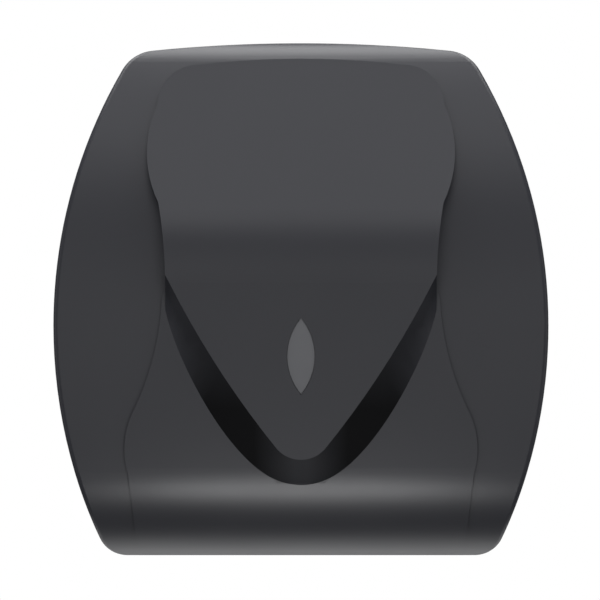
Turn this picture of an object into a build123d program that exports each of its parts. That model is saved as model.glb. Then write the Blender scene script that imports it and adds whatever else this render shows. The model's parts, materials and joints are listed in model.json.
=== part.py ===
"""Wall-mounted dispenser for rolls of paper towel, whose feed drum cuts each sheet as it is pulled.

Millimetres. The wall is the plane Y = 0, the front faces -Y and +Z is up.
The origin is on the wall face, at half the height of the cover.
"""
import math
import os

from build123d import *

# The roll sets the width of everything
ROLL_WIDTH = 200.0
ROLL_RADIUS = 87.5
SIDE_ROOM = 58.6

# Cover outline, as seen from the front
WIDTH = ROLL_WIDTH + 2 * SIDE_ROOM
HEIGHT = 330.0
SIDE_RADIUS = 332.0
WIDEST_Z = -17.0
TOP_RADIUS = 925.0
TOP_CORNER_RADIUS = 25.0
BOTTOM_CORNER_RADIUS = 19.0

# Cover depth and side profile
COVER_GAP_TO_WALL = 12.0
COVER_WALL = 3.0
COVER_EDGE_RADIUS = 3.0
SHIELD_DEPTH = 220.0
WING_DEPTH = SHIELD_DEPTH - 15.0
SHOULDER_RADIUS = 30.0
SHOULDER_TILT = 35.0
LOWER_WING_RADIUS = 600.0
WING_CURL_TILT = 9.0

# Raised shield
SHIELD_FOREMOST_Z = 15.0
SHIELD_TILT = 27.6
SHIELD_BEND_RADIUS = 90.0
SHIELD_LOWER_TILT = 3.0
SHIELD_TOP_Z = 154.7
SHIELD_TOP_HALF = 66.0
SHIELD_FLARE_HALF = 98.8
SHIELD_WAIST_HALF = 89.4
V_TOP_Z = 16.0
V_TOP_HALF = 87.0
V_MIDDLE_X = 53.9
V_MIDDLE_Z = -42.6
V_TIP_Z = -103.0
V_TIP_HALF = 15.4
BEVEL_SLOPES = ((0.12, -1.33), (1.35, -1.3), (1.28, -0.8), (0.0, -1.15))
BEVEL_ROOM = 2.0
BEVEL_REACH = 22.0

# Lower panel
PANEL_DEPTH = SHIELD_DEPTH - 12.0
PANEL_RADIUS = 800.0
PANEL_CURL_Z = -108.0
PANEL_TOP_HALF = 89.0
PANEL_BULGE_HALF = 112.8
PANEL_FOOT_HALF = 104.0
PANEL_HIP_DROP = 70.0
PANEL_BULGE_DROP = 90.0
PANEL_BULGE_FOOT_DROP = 112.0

# Window
WINDOW_HEIGHT = 49.4
WINDOW_WIDTH = 18.0
WINDOW_Z = -36.6
WINDOW_GAP = 0.3
LENS_SET_BACK = 0.8
LENS_THICKNESS = 2.4
LENS_FLANGE = 3.0
LENS_FLANGE_THICKNESS = 1.5

# Back case
CASE_WALL = 3.0
CASE_RIM_WALL = 2.5
CASE_RIM_DEPTH = 28.0
CASE_TO_COVER_GAP = 1.5
CASE_RIM_FOOT_Z = 23.0 - HEIGHT / 2
WALL_HOLE_RADIUS = 3.0
WALL_HOLE_SPACING_X = 140.0
WALL_HOLE_SPACING_Z = 150.0
WALL_HOLE_CENTRE_Z = 41.0

# Cover hinge
HINGE_Y = -12.0
HINGE_Z = 6.0 - HEIGHT / 2
HINGE_KNUCKLE_RADIUS = 5.0
HINGE_PIN_RADIUS = 2.0
CASE_LUG_INNER_X = ROLL_WIDTH / 2 + 4.5
CASE_LUG_WIDTH = 6.7
COVER_LUG_WIDTH = 6.0
COVER_LUG_REACH = 28.0
LUG_GAP = 0.4
RUNNING_GAP = 0.06
PRESS_GAP = 0.02

# Side frames
FRAME_INNER_X = ROLL_WIDTH / 2 + 8.0
FRAME_THICKNESS = 3.0
FRAME_TOP_Z = -19.0
FRAME_BOTTOM_Z = 8.0 - HEIGHT / 2
FRAME_FRONT_Y = -136.0
FRAME_FLANGE_WIDTH = 13.0
FRAME_SCREW_ZS = (-44.0, -92.0, 29.0 - HEIGHT / 2)

# Screws
SCREW_RADIUS = 1.9
SCREW_HEAD_RADIUS = 3.8
SCREW_HEAD_HEIGHT = 2.2
SCREW_TIP_COVER = 0.6

# Roll and its arms
ROLL_Y = -93.0
ROLL_Z = 62.0
ROLL_SIDE_GAP = 0.4
HUB_FLANGE_RADIUS = 26.0
HUB_FLANGE_THICKNESS = 2.5
HUB_NOSE_RADIUS = 18.5
HUB_NOSE_TIP_RADIUS = 17.0
HUB_NOSE_LENGTH = 14.0
HUB_STUD_RADIUS = 5.0
HUB_RECESS_DEPTH = 3.2
HUB_RECESS_RADIUS = 9.0
HUB_SCREW_HEAD_RADIUS = 7.0
ARM_GAP = 0.4
ARM_THICKNESS = 4.0
ARM_END_RADIUS = 16.0
ARM_ROOT_LOW_Z = 42.0
ARM_ROOT_HIGH_Z = 82.0
ARM_FLANGE_WIDTH = 14.0
ARM_PIVOT_X = ROLL_WIDTH / 2 + 12.0
ARM_PIVOT_Y = -14.0
ARM_PIN_RADIUS = 2.5
ARM_KNUCKLE_RADIUS = 5.5
ARM_KNUCKLE_HEIGHT = 15.7
ARM_LUG_HEIGHT = 6.0
ARM_SPRING_SPACE = 12.0
ARM_SPRING_RADIUS = 3.5
ARM_SPRING_WIRE = 1.0
ARM_SPRING_TURNS = 5
ARM_SPRING_PITCH = 1.8
ARM_SPRING_LEG = 22.0

# Feed drum, with its knife slot turned this far round the shaft from the back
DRUM_Y = -78.0
DRUM_Z = -82.0
DRUM_RADIUS = 36.5
DRUM_WALL = 2.5
DRUM_HALF_LENGTH = ROLL_WIDTH / 2 + 2.0
DRUM_END_WALL = 3.0
DRUM_SLOT_HALF_LENGTH = ROLL_WIDTH / 2 - 2.0
DRUM_SLOT_FROM = -24.0
DRUM_SLOT_TO = 14.0
DRUM_TURN = 225.0
DRUM_SPLIT_GAP = 0.05
SHAFT_RADIUS = 4.0
GRIP_THICKNESS = 1.5
GRIP_WIDTH = 14.0
GRIP_COUNT = 5
GRIP_SPACING = 40.0
GRIP_SLOT_MARGIN = 2.0
DRUM_SCREW_X = 60.0
DRUM_SCREW_OFFSET = 25.0
DRUM_BOSS_RADIUS = 4.0
DRUM_BOSS_REACH = 12.0
DRUM_SCREW_SEAT = 20.0
DRUM_SCREW_HEAD_RADIUS = 2.8
DRUM_SCREW_RADIUS = 1.5
BUSH_RADIUS = 7.0
BUSH_FLANGE_RADIUS = 9.0
BUSH_FLANGE_THICKNESS = 1.2

# Knife inside the drum, placed by distances along and across the slot's direction
KNIFE_PIVOT_OUT = 26.0
KNIFE_PIVOT_ACROSS = -15.0
KNIFE_REST_ANGLE = 80.0
KNIFE_ROD_RADIUS = 3.5
KNIFE_STUB_RADIUS = 3.0
KNIFE_TANG_LENGTH = 10.0
KNIFE_TANG_THICKNESS = 3.0
KNIFE_BLADE_ROOT = 3.6
KNIFE_BLADE_LENGTH = 21.0
KNIFE_BLADE_THICKNESS = 1.0
KNIFE_BLADE_HALF = ROLL_WIDTH / 2 - 3.0
TOOTH_COUNT = 32
TOOTH_DEPTH = 3.0
RIVET_RADIUS = 1.2
RIVET_COUNT = 5
RIVET_SPACING = 40.0
RIVET_HEAD_RADIUS = 2.0
RIVET_HEAD_HEIGHT = 0.7
FOLLOWER_GAP = 0.5
FOLLOWER_THICKNESS = 2.5
FOLLOWER_LENGTH = 12.0
FOLLOWER_ANGLE = 200.0
FOLLOWER_ROLLER_RADIUS = 3.0
FOLLOWER_ROLLER_WIDTH = 2.6
CAM_INNER_RADIUS = 27.6
CAM_WALL = 3.4
CAM_HEIGHT = 2.6

# Outside the frames, on the drum shaft
FEED_WHEEL_RADIUS = 22.0
FEED_WHEEL_WIDTH = 12.0
FEED_WHEEL_GAP = 0.8
FEED_WHEEL_GROOVES = 24
FEED_WHEEL_GROOVE_RADIUS = 1.6
CRANK_GAP = 0.8
CRANK_THICKNESS = 4.0
CRANK_HUB_RADIUS = 9.0
CRANK_LENGTH = 16.0
CRANK_PIN_RADIUS = 2.0
CRANK_PIN_LENGTH = 9.0
SPRING_POST_Z = 19.0 - HEIGHT / 2
RETURN_SPRING_RADIUS = 3.6
RETURN_SPRING_WIRE = 1.1
RETURN_SPRING_TURNS = 11
RETURN_SPRING_PITCH = 1.8
HOOK_GAP = 0.2

# Pinch rollers and their bracket
PINCH_ANGLE = 120.0
PAPER_GAP = 0.3
PINCH_RADIUS = 9.0
PINCH_SHAFT_RADIUS = 3.0
PINCH_ROLLER_LENGTH = 50.0
PINCH_ROLLER_SPACING = 66.0
PINCH_PIVOT_Y = -60.0
PINCH_PIVOT_Z = -36.0
PINCH_PIN_RADIUS = 2.5
PINCH_PIN_INNER_X = ROLL_WIDTH / 2 - 2.0
PINCH_ARM_THICKNESS = 2.6
PINCH_ARM_GAP = 0.8
PINCH_ARM_HALF_WIDTH = 5.0
PINCH_BAR_DEPTH = 12.0
PINCH_BAR_HEIGHT = 8.0
PINCH_SPRING_Y = -86.0
PINCH_SPRING_RADIUS = 1.7
PINCH_SPRING_WIRE = 0.7
PINCH_SPRING_TURNS = 5
PINCH_LEDGE_HEIGHT = 3.0
PINCH_LEDGE_HALF_DEPTH = 4.0
PINCH_LEDGE_REACH = 5.0
SEAT_GAP = 0.2

# Paper guides under the drum
GUIDE_THICKNESS = 2.5
CHUTE_FLOOR_Z = 11.5 - HEIGHT / 2
CHUTE_FRONT_Y = -104.0
CHUTE_REAR_Y = -24.0
CHUTE_BACK_HEIGHT = 24.0
FRONT_GUIDE_Y = -132.0
FRONT_GUIDE_TOP_Z = -82.0
OUTLET_OPENING_FRONT_Y = -138.0
OUTLET_OPENING_HALF = ROLL_WIDTH / 2 + 12.0

# Lock in the roof
LOCK_Y = -46.0
LOCK_HOUSING_RADIUS = 8.0
LOCK_HOUSING_LENGTH = 20.0
LOCK_BARREL_RADIUS = 5.0
LOCK_FACE_SET_BACK = 0.5
LOCK_NUT_ACROSS = 22.0
LOCK_NUT_HEIGHT = 4.5
KEYWAY_WIDTH = 1.6
KEYWAY_LENGTH = 6.0
KEYWAY_DEPTH = 6.0
CAM_PLATE_THICKNESS = 3.0
CAM_ARM_WIDTH = 8.0
CAM_ARM_LENGTH = 20.0
CAM_TOE_LENGTH = 9.0
CAM_TOE_WIDTH = 4.0
KEEPER_GAP = 2.0
KEEPER_THICKNESS = 2.5
KEEPER_WIDTH = 8.5
KEEPER_SIDE_GAP = 1.5
KEEPER_DROP = 9.0
KEEPER_FOOT_HEIGHT = 18.0

# Worked out from the sizes above
HALF_WIDTH = WIDTH / 2
TOP_Z = HEIGHT / 2
BOTTOM_Z = -HEIGHT / 2
CUT_ROOM = 20.0
PROFILE_ROOM = 0.6
FRONT_REACH = SHIELD_DEPTH + CUT_ROOM
COVER_REAR_Y = -COVER_GAP_TO_WALL
CASE_INSET = COVER_WALL + CASE_TO_COVER_GAP
FRAME_OUTER_X = FRAME_INNER_X + FRAME_THICKNESS
HUB_OUTER_X = ROLL_WIDTH / 2 + ROLL_SIDE_GAP + HUB_FLANGE_THICKNESS
HUB_TIP_X = ROLL_WIDTH / 2 + ROLL_SIDE_GAP - HUB_NOSE_LENGTH
ARM_INNER_X = HUB_OUTER_X + ARM_GAP
ARM_OUTER_X = ARM_INNER_X + ARM_THICKNESS
GRIP_RADIUS = DRUM_RADIUS + GRIP_THICKNESS
FEED_WHEEL_INNER_X = FRAME_OUTER_X + BUSH_FLANGE_THICKNESS + FEED_WHEEL_GAP
FEED_WHEEL_OUTER_X = FEED_WHEEL_INNER_X + FEED_WHEEL_WIDTH
CRANK_INNER_X = FRAME_OUTER_X + BUSH_FLANGE_THICKNESS + CRANK_GAP
CRANK_OUTER_X = CRANK_INNER_X + CRANK_THICKNESS
PINCH_DISTANCE = GRIP_RADIUS + PAPER_GAP + PINCH_RADIUS
PINCH_Y = DRUM_Y + PINCH_DISTANCE * math.cos(math.radians(PINCH_ANGLE))
PINCH_Z = DRUM_Z + PINCH_DISTANCE * math.sin(math.radians(PINCH_ANGLE))
PINCH_ARM_OUTER_X = FRAME_INNER_X - PINCH_ARM_GAP
PINCH_ARM_INNER_X = PINCH_ARM_OUTER_X - PINCH_ARM_THICKNESS
PINCH_ARM_TOP_Z = PINCH_PIVOT_Z + PINCH_BAR_HEIGHT / 2
ARM_KNUCKLE_LOW_Z = ARM_ROOT_LOW_Z + 2.0
ARM_KNUCKLE_HIGH_Z = ARM_KNUCKLE_LOW_Z + ARM_KNUCKLE_HEIGHT
ARM_LUG_HIGH_Z = ARM_KNUCKLE_HIGH_Z + ARM_SPRING_SPACE
COVER_LUG_INNER_X = CASE_LUG_INNER_X + CASE_LUG_WIDTH + LUG_GAP
CAM_PLATE_TOP_Z = TOP_Z - LOCK_HOUSING_LENGTH - LUG_GAP
DRUM_PLACE = Pos(0, DRUM_Y, DRUM_Z) * Rot(DRUM_TURN, 0, 0)
KNIFE_PLACE = DRUM_PLACE * Pos(0, KNIFE_PIVOT_OUT, KNIFE_PIVOT_ACROSS) * Rot(KNIFE_REST_ANGLE, 0, 0)


def sine(degrees):
    return math.sin(math.radians(degrees))


def cosine(degrees):
    return math.cos(math.radians(degrees))


def block(x0, x1, y0, y1, z0, z1):
    """A box between two corners."""
    box = Box(abs(x1 - x0), abs(y1 - y0), abs(z1 - z0))
    return Pos((x0 + x1) / 2, (y0 + y1) / 2, (z0 + z1) / 2) * box


def rod_x(radius, x0, x1, y=0.0, z=0.0):
    """A cylinder along X."""
    return Pos((x0 + x1) / 2, y, z) * Rot(0, 90, 0) * Cylinder(radius, abs(x1 - x0))


def rod_y(radius, y0, y1, x=0.0, z=0.0):
    """A cylinder along Y."""
    return Pos(x, (y0 + y1) / 2, z) * Rot(90, 0, 0) * Cylinder(radius, abs(y1 - y0))


def rod_z(radius, z0, z1, x=0.0, y=0.0):
    """A cylinder along Z."""
    return Pos(x, y, (z0 + z1) / 2) * Cylinder(radius, abs(z1 - z0))


def side_plate(points, x0, x1):
    """A flat plate from an outline of (y, z) points, between two X places."""
    face = Plane.YZ * make_face(Polyline(points, close=True))
    return Pos(x0, 0, 0) * extrude(face, amount=x1 - x0)


def other_side(shape):
    return mirror(shape, Plane.YZ)


# Cover

def cover_outline(inset):
    """Front outline of the cover, set in all round: two side arcs, a shallow top arc and a flat foot."""
    side_shift = HALF_WIDTH - SIDE_RADIUS
    side_circle = Circle(SIDE_RADIUS - inset)
    face = Rectangle(WIDTH, HEIGHT - 2 * inset)
    face &= Pos(side_shift, WIDEST_Z) * side_circle
    face &= Pos(-side_shift, WIDEST_Z) * side_circle
    face &= Pos(0, TOP_Z - TOP_RADIUS) * Circle(TOP_RADIUS - inset)
    face = fillet(face.vertices().group_by(Axis.Y)[-1], TOP_CORNER_RADIUS - inset)
    return fillet(face.vertices().group_by(Axis.Y)[0], BOTTOM_CORNER_RADIUS - inset)


def outline_block(inset, y0, y1):
    """The cover's outline as a solid between two depths."""
    return Pos(0, y0, 0) * extrude(Plane.XZ * cover_outline(inset), amount=y0 - y1)


def tilted(angle):
    """Outward direction of a side profile, in (y, z), that looks this many degrees above the horizontal."""
    return Vector(-cosine(angle), sine(angle))


def profile_block(start, tilt, runs, inset, rear_y):
    """Solid behind a side profile of tangent runs, top to bottom.

    A run is (radius, end tilt) for an arc, or (None, length) for a straight stretch.
    """
    point = Vector(*start) - tilted(tilt) * inset
    top = point
    edges = []
    for radius, end in runs:
        if radius is None:
            after = point + Vector(-sine(tilt), -cosine(tilt)) * end
            edges.append(Line(point, after))
        else:
            centre = point - tilted(tilt) * (radius - inset)
            middle = centre + tilted((tilt + end) / 2) * (radius - inset)
            after = centre + tilted(end) * (radius - inset)
            edges.append(ThreePointArc(point, middle, after))
            tilt = end
        point = after
    rear_low = Vector(rear_y, point.Y)
    rear_top = Vector(rear_y, top.Y)
    edges += [Line(point, rear_low), Line(rear_low, rear_top), Line(rear_top, top)]
    return extrude(Plane.YZ * make_face(edges), amount=HALF_WIDTH + CUT_ROOM, both=True)


def wing_profile(inset):
    """Roof shoulder, barrel front and rolled-under foot of the wings."""
    top = TOP_Z + PROFILE_ROOM
    shoulder_drop = SHOULDER_RADIUS * (1 - sine(SHOULDER_TILT))
    barrel_radius = (top - shoulder_drop - WIDEST_Z) / sine(SHOULDER_TILT)
    curl_start = WIDEST_Z - LOWER_WING_RADIUS * sine(WING_CURL_TILT)
    curl_radius = (curl_start - BOTTOM_Z + PROFILE_ROOM) / (1 - sine(WING_CURL_TILT))
    barrel_top_y = -WING_DEPTH + barrel_radius * (1 - cosine(SHOULDER_TILT))
    roof_end_y = barrel_top_y + SHOULDER_RADIUS * cosine(SHOULDER_TILT)
    runs = [(SHOULDER_RADIUS, SHOULDER_TILT), (barrel_radius, 0),
            (LOWER_WING_RADIUS, -WING_CURL_TILT), (curl_radius, -90)]
    return profile_block((roof_end_y, top), 90, runs, inset, 0)


def panel_profile(inset):
    """Gently bowed lower panel that rolls under to the foot."""
    curl_tilt = math.degrees(math.asin(-PANEL_CURL_Z / PANEL_RADIUS))
    curl_radius = (PANEL_CURL_Z - BOTTOM_Z + PROFILE_ROOM) / (1 - sine(curl_tilt))
    top_tilt = math.degrees(math.asin(CUT_ROOM / PANEL_RADIUS))
    start = (-PANEL_DEPTH + PANEL_RADIUS * (1 - cosine(top_tilt)), CUT_ROOM)
    return profile_block(start, top_tilt, [(PANEL_RADIUS, -curl_tilt), (curl_radius, -90)],
                         inset, -WING_DEPTH / 2)


def shield_profile(inset):
    """Flat upper slope, bend and nearly upright lower face of the shield."""
    bend_top_z = SHIELD_FOREMOST_Z + SHIELD_BEND_RADIUS * sine(SHIELD_TILT)
    bend_top_y = -SHIELD_DEPTH + SHIELD_BEND_RADIUS * (1 - cosine(SHIELD_TILT))
    run = (TOP_Z + CUT_ROOM - bend_top_z) / cosine(SHIELD_TILT)
    start = (bend_top_y + run * sine(SHIELD_TILT), TOP_Z + CUT_ROOM)
    lower_run = SHIELD_FOREMOST_Z - BOTTOM_Z
    runs = [(None, run), (SHIELD_BEND_RADIUS, -SHIELD_LOWER_TILT), (None, lower_run)]
    return profile_block(start, SHIELD_TILT, runs, inset, -WING_DEPTH / 3)


def lower_face_plane(depth, z=0.0):
    """Plane parallel to the shield's lower face, this far behind it, with its normal pointing forwards."""
    lower = math.radians(SHIELD_LOWER_TILT)
    bend_end_z = SHIELD_FOREMOST_Z - SHIELD_BEND_RADIUS * math.sin(lower)
    bend_end_y = -SHIELD_DEPTH + SHIELD_BEND_RADIUS * (1 - math.cos(lower))
    surface_y = bend_end_y + (bend_end_z - z) * math.tan(lower)
    inward = Vector(0, math.cos(lower), math.sin(lower))
    origin = Vector(0, surface_y, z) + inward * depth
    return Plane(origin, x_dir=(1, 0, 0), z_dir=-inward)


def bevel_wire(depth, inset):
    """Round the V at one depth: each point moves along its own slope from the V's edge."""
    near = [(V_TOP_HALF - inset, V_TOP_Z), (V_MIDDLE_X - 0.34 * inset, V_MIDDLE_Z + 0.2 * inset),
            (V_TIP_HALF - 0.3 * inset, V_TIP_Z + 7.0 + 0.3 * inset), (0, V_TIP_Z + 0.4 * inset)]
    travel = depth - inset
    points = [(x + sx * travel, z + sz * travel) for (x, z), (sx, sz) in zip(near, BEVEL_SLOPES)]
    top, middle, low, tip = points
    left_top, left_middle, left_low = [(-x, z) for x, z in points[:3]]
    edges = [ThreePointArc(top, middle, low), ThreePointArc(low, tip, left_low),
             ThreePointArc(left_low, left_middle, left_top), Line(left_top, top)]
    return lower_face_plane(depth) * Wire(edges)


def bevel_block(inset):
    """The V of the shield with its sloping bevel, from ahead of its face to behind the panel."""
    block_ahead = bevel_wire(inset - BEVEL_ROOM, inset)
    block_behind = bevel_wire(inset + BEVEL_REACH, inset)
    side = V_TOP_HALF - inset - 0.2
    within = block(-side, side, -FRONT_REACH, 0, BOTTOM_Z, V_TOP_Z + 0.1)
    return Solid.make_loft([block_behind, block_ahead], ruled=True) & within


def shield_block(inset):
    """The shield behind its front face, with upright sides."""
    shoulder = (SHIELD_TOP_HALF, SHIELD_TOP_Z - 3.9 - inset)
    corner = (SHIELD_FLARE_HALF - 13.6 - 0.7 * inset, SHIELD_TOP_Z - 12.3 - 0.7 * inset)
    corner_end = (SHIELD_FLARE_HALF - 6.6 - inset, SHIELD_TOP_Z - 29.7 - 0.3 * inset)
    flare = (SHIELD_FLARE_HALF - inset, 95.0)
    waist_top = (SHIELD_WAIST_HALF + 2.0 - inset, 62.0)
    waist = (SHIELD_WAIST_HALF - 1.2 - inset, 38.0)
    foot = (V_TOP_HALF - inset, V_TOP_Z - 0.5)
    right = [ThreePointArc(shoulder, corner, corner_end), ThreePointArc(corner_end, flare, waist_top),
             ThreePointArc(waist_top, waist, foot)]
    left = [mirror(edge, Plane.YZ) for edge in right]
    top_edge = ThreePointArc((-shoulder[0], shoulder[1]), (0, SHIELD_TOP_Z - inset), shoulder)
    foot_edge = Line(foot, (-foot[0], foot[1]))
    face = make_face([top_edge, foot_edge] + right + left)
    upper = extrude(Plane.XZ * face, amount=FRONT_REACH)
    return (upper + bevel_block(inset)) & shield_profile(inset)


def panel_block(inset):
    """The lower panel, waisted at the top and widest at its bulge."""
    top = (PANEL_TOP_HALF - 3.0 - inset, CUT_ROOM - 8.0)
    hip = (PANEL_TOP_HALF - inset, 0.0)
    hip_middle = (PANEL_TOP_HALF + 6.0 - inset, -0.55 * PANEL_HIP_DROP)
    hip_low = (PANEL_BULGE_HALF - 6.3 - inset, -PANEL_HIP_DROP)
    bulge = (PANEL_BULGE_HALF - inset, -PANEL_BULGE_DROP)
    bulge_low = (PANEL_BULGE_HALF - 2.0 - inset, -PANEL_BULGE_FOOT_DROP)
    foot = (PANEL_FOOT_HALF - inset, BOTTOM_Z - 5.0)
    right = [Line(top, hip), ThreePointArc(hip, hip_middle, hip_low),
             ThreePointArc(hip_low, bulge, bulge_low), Line(bulge_low, foot)]
    left = [mirror(edge, Plane.YZ) for edge in right]
    ends = [Line((-top[0], top[1]), top), Line(foot, (-foot[0], foot[1]))]
    face = make_face(right + left + ends)
    return extrude(Plane.XZ * face, amount=FRONT_REACH) & panel_profile(inset)


def rim_edges(body, inset):
    """Edges where the sides of the cover meet its front."""
    sides = outline_block(inset, 0, -FRONT_REACH).faces().filter_by(Axis.Y, reverse=True)
    edges = [edge for edge in body.edges() if edge.center().Y < -0.5 * WING_DEPTH]
    edges = [edge for edge in edges if abs((edge % 0.5).Y) < 0.95]
    return [edge for edge in edges if min(face.distance_to(edge @ 0.5) for face in sides) < 0.01]


def cover_volume(inset):
    """Everything inside the cover's skin, set in from its outer face."""
    body = wing_profile(inset) + panel_block(inset) + shield_block(inset)
    body = body & outline_block(inset, 0, -FRONT_REACH)
    return fillet(rim_edges(body, inset), COVER_EDGE_RADIUS - 0.8 * inset)


def window_face(grow):
    """The pointed window outline: two equal arcs through its tips."""
    half_height = WINDOW_HEIGHT / 2 + grow
    half_width = WINDOW_WIDTH / 2 + grow * 0.6
    tips = (0, half_height), (0, -half_height)
    right = ThreePointArc(tips[0], (half_width, 0), tips[1])
    left = ThreePointArc(tips[0], (-half_width, 0), tips[1])
    return make_face([right, left])


def window_plane(depth):
    return lower_face_plane(depth, WINDOW_Z)


def cover_lug():
    """Right-hand hinge lug of the cover, with its pin hole."""
    outer_x = COVER_LUG_INNER_X + COVER_LUG_WIDTH
    low = HINGE_Z - HINGE_KNUCKLE_RADIUS
    high = HINGE_Z + HINGE_KNUCKLE_RADIUS
    lug = block(COVER_LUG_INNER_X, outer_x, HINGE_Y - COVER_LUG_REACH, HINGE_Y, low, high)
    return lug + rod_x(HINGE_KNUCKLE_RADIUS, COVER_LUG_INNER_X, outer_x, HINGE_Y, HINGE_Z)


def cover_shell():
    shell = cover_volume(0) - cover_volume(COVER_WALL)
    shell -= block(-HALF_WIDTH, HALF_WIDTH, COVER_REAR_Y, CUT_ROOM, BOTTOM_Z, TOP_Z)
    shell -= block(-OUTLET_OPENING_HALF, OUTLET_OPENING_HALF, OUTLET_OPENING_FRONT_Y, 0,
                   BOTTOM_Z - CUT_ROOM, BOTTOM_Z + CUT_ROOM)
    shell -= extrude(window_plane(-CUT_ROOM) * window_face(0), amount=-2 * CUT_ROOM)
    shell -= rod_z(LOCK_HOUSING_RADIUS + PRESS_GAP, TOP_Z - CUT_ROOM, TOP_Z + CUT_ROOM, 0, LOCK_Y)
    lug = cover_lug()
    shell = shell + lug + other_side(lug)
    pin_hole = rod_x(HINGE_PIN_RADIUS + RUNNING_GAP, -HALF_WIDTH, HALF_WIDTH, HINGE_Y, HINGE_Z)
    return shell - (pin_hole & block(-COVER_LUG_INNER_X - COVER_LUG_WIDTH + 1,
                                     COVER_LUG_INNER_X + COVER_LUG_WIDTH - 1,
                                     HINGE_Y - CUT_ROOM, 0, BOTTOM_Z, 0))


def window_lens():
    """Smoked lens in the window, held by a flange behind the cover's wall."""
    front = extrude(window_plane(LENS_SET_BACK) * window_face(-WINDOW_GAP),
                    amount=-(COVER_WALL - LENS_SET_BACK + LENS_FLANGE_THICKNESS))
    flange = extrude(window_plane(COVER_WALL) * window_face(LENS_FLANGE), amount=-LENS_FLANGE_THICKNESS)
    return front + flange


# Back case

def case_lug():
    """Right-hand hinge lug of the case."""
    outer_x = CASE_LUG_INNER_X + CASE_LUG_WIDTH
    low = HINGE_Z - HINGE_KNUCKLE_RADIUS
    high = HINGE_Z + HINGE_KNUCKLE_RADIUS
    lug = block(CASE_LUG_INNER_X, outer_x, HINGE_Y, -CASE_WALL, low, high)
    return lug + rod_x(HINGE_KNUCKLE_RADIUS, CASE_LUG_INNER_X, outer_x, HINGE_Y, HINGE_Z)


def arm_pivot_lug(z0, z1):
    """One ear that holds the right arm's pin."""
    ear = rod_z(ARM_KNUCKLE_RADIUS, z0, z1, ARM_PIVOT_X, ARM_PIVOT_Y)
    root = block(ARM_PIVOT_X - ARM_KNUCKLE_RADIUS, ARM_PIVOT_X + ARM_KNUCKLE_RADIUS,
                 ARM_PIVOT_Y, -CASE_WALL, z0, z1)
    return ear + root


def case_screw_places():
    """Where screws go into the case: the frame feet, the left arm's foot and the keeper's foot."""
    foot_x = FRAME_OUTER_X + FRAME_FLANGE_WIDTH / 2
    places = [(side * foot_x, z) for side in (-1, 1) for z in FRAME_SCREW_ZS]
    arm_x = -(ARM_OUTER_X + ARM_FLANGE_WIDTH / 2)
    arm_inset = (ARM_ROOT_HIGH_Z - ARM_ROOT_LOW_Z) / 5
    places += [(arm_x, ARM_ROOT_LOW_Z + arm_inset), (arm_x, ARM_ROOT_HIGH_Z - arm_inset)]
    return places + [keeper_screw_place()]


def keeper_top_z():
    return CAM_PLATE_TOP_Z + KEEPER_THICKNESS + LUG_GAP * 5


def keeper_screw_place():
    x = -KEEPER_SIDE_GAP - KEEPER_WIDTH / 2
    return x, keeper_top_z() - KEEPER_FOOT_HEIGHT + SCREW_HEAD_RADIUS + 1.0


def screw_holes():
    """Blind holes for the case screws, clear of their shanks."""
    tip_y = -SCREW_TIP_COVER
    radius = SCREW_RADIUS + RUNNING_GAP
    return [rod_y(radius, -CUT_ROOM, tip_y, x, z) for x, z in case_screw_places()]


def back_case():
    plate = outline_block(CASE_INSET, 0, -CASE_WALL)
    rim = outline_block(CASE_INSET, 0, -CASE_RIM_DEPTH) - outline_block(CASE_INSET + CASE_RIM_WALL, 0, -CASE_RIM_DEPTH)
    rim -= block(-HALF_WIDTH, HALF_WIDTH, -CASE_RIM_DEPTH - 1, 0, BOTTOM_Z, CASE_RIM_FOOT_Z)
    case = plate + rim
    lug = case_lug()
    case = case + lug + other_side(lug)
    case += arm_pivot_lug(ARM_KNUCKLE_LOW_Z - ARM_LUG_HEIGHT - LUG_GAP, ARM_KNUCKLE_LOW_Z - LUG_GAP)
    case += arm_pivot_lug(ARM_LUG_HIGH_Z, ARM_LUG_HIGH_Z + ARM_LUG_HEIGHT)
    for x in (-WALL_HOLE_SPACING_X / 2, WALL_HOLE_SPACING_X / 2):
        for z in (-WALL_HOLE_SPACING_Z / 2, WALL_HOLE_SPACING_Z / 2):
            case -= rod_y(WALL_HOLE_RADIUS, -CUT_ROOM, CUT_ROOM, x, WALL_HOLE_CENTRE_Z + z)
    for hole in screw_holes():
        case -= hole
    for side in (-1, 1):
        middle = side * (CASE_LUG_INNER_X + CASE_LUG_WIDTH / 2)
        case -= rod_x(HINGE_PIN_RADIUS + PRESS_GAP, middle - CASE_LUG_WIDTH, middle + CASE_LUG_WIDTH, HINGE_Y, HINGE_Z)
    return case - rod_z(ARM_PIN_RADIUS + PRESS_GAP, ARM_ROOT_LOW_Z - CUT_ROOM, ARM_LUG_HIGH_Z + CUT_ROOM,
                        ARM_PIVOT_X, ARM_PIVOT_Y)


def hinge_pins():
    """One pin a side, through the case's lug and the cover's."""
    start = CASE_LUG_INNER_X - 0.5
    end = COVER_LUG_INNER_X + COVER_LUG_WIDTH - 1.2
    pin = rod_x(HINGE_PIN_RADIUS, start, end, HINGE_Y, HINGE_Z)
    return Compound([pin, other_side(pin)])


def case_screws():
    """Pan-head screws that hold the frames, the left arm and the keeper to the case."""
    screws = []
    for x, z in case_screw_places():
        seat_y = -CASE_WALL - FRAME_THICKNESS
        shank = rod_y(SCREW_RADIUS, seat_y, -SCREW_TIP_COVER - 0.1, x, z)
        head = rod_y(SCREW_HEAD_RADIUS, seat_y - SCREW_HEAD_HEIGHT, seat_y, x, z)
        head = fillet(head.edges().group_by(Axis.Y)[0], SCREW_HEAD_HEIGHT / 2)
        slot = block(x - 0.5, x + 0.5, seat_y - SCREW_HEAD_HEIGHT, seat_y - SCREW_HEAD_HEIGHT / 2,
                     z - SCREW_HEAD_RADIUS, z + SCREW_HEAD_RADIUS)
        screws.append((shank + head) - slot)
    return Compound(screws)


# Side frames

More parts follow.
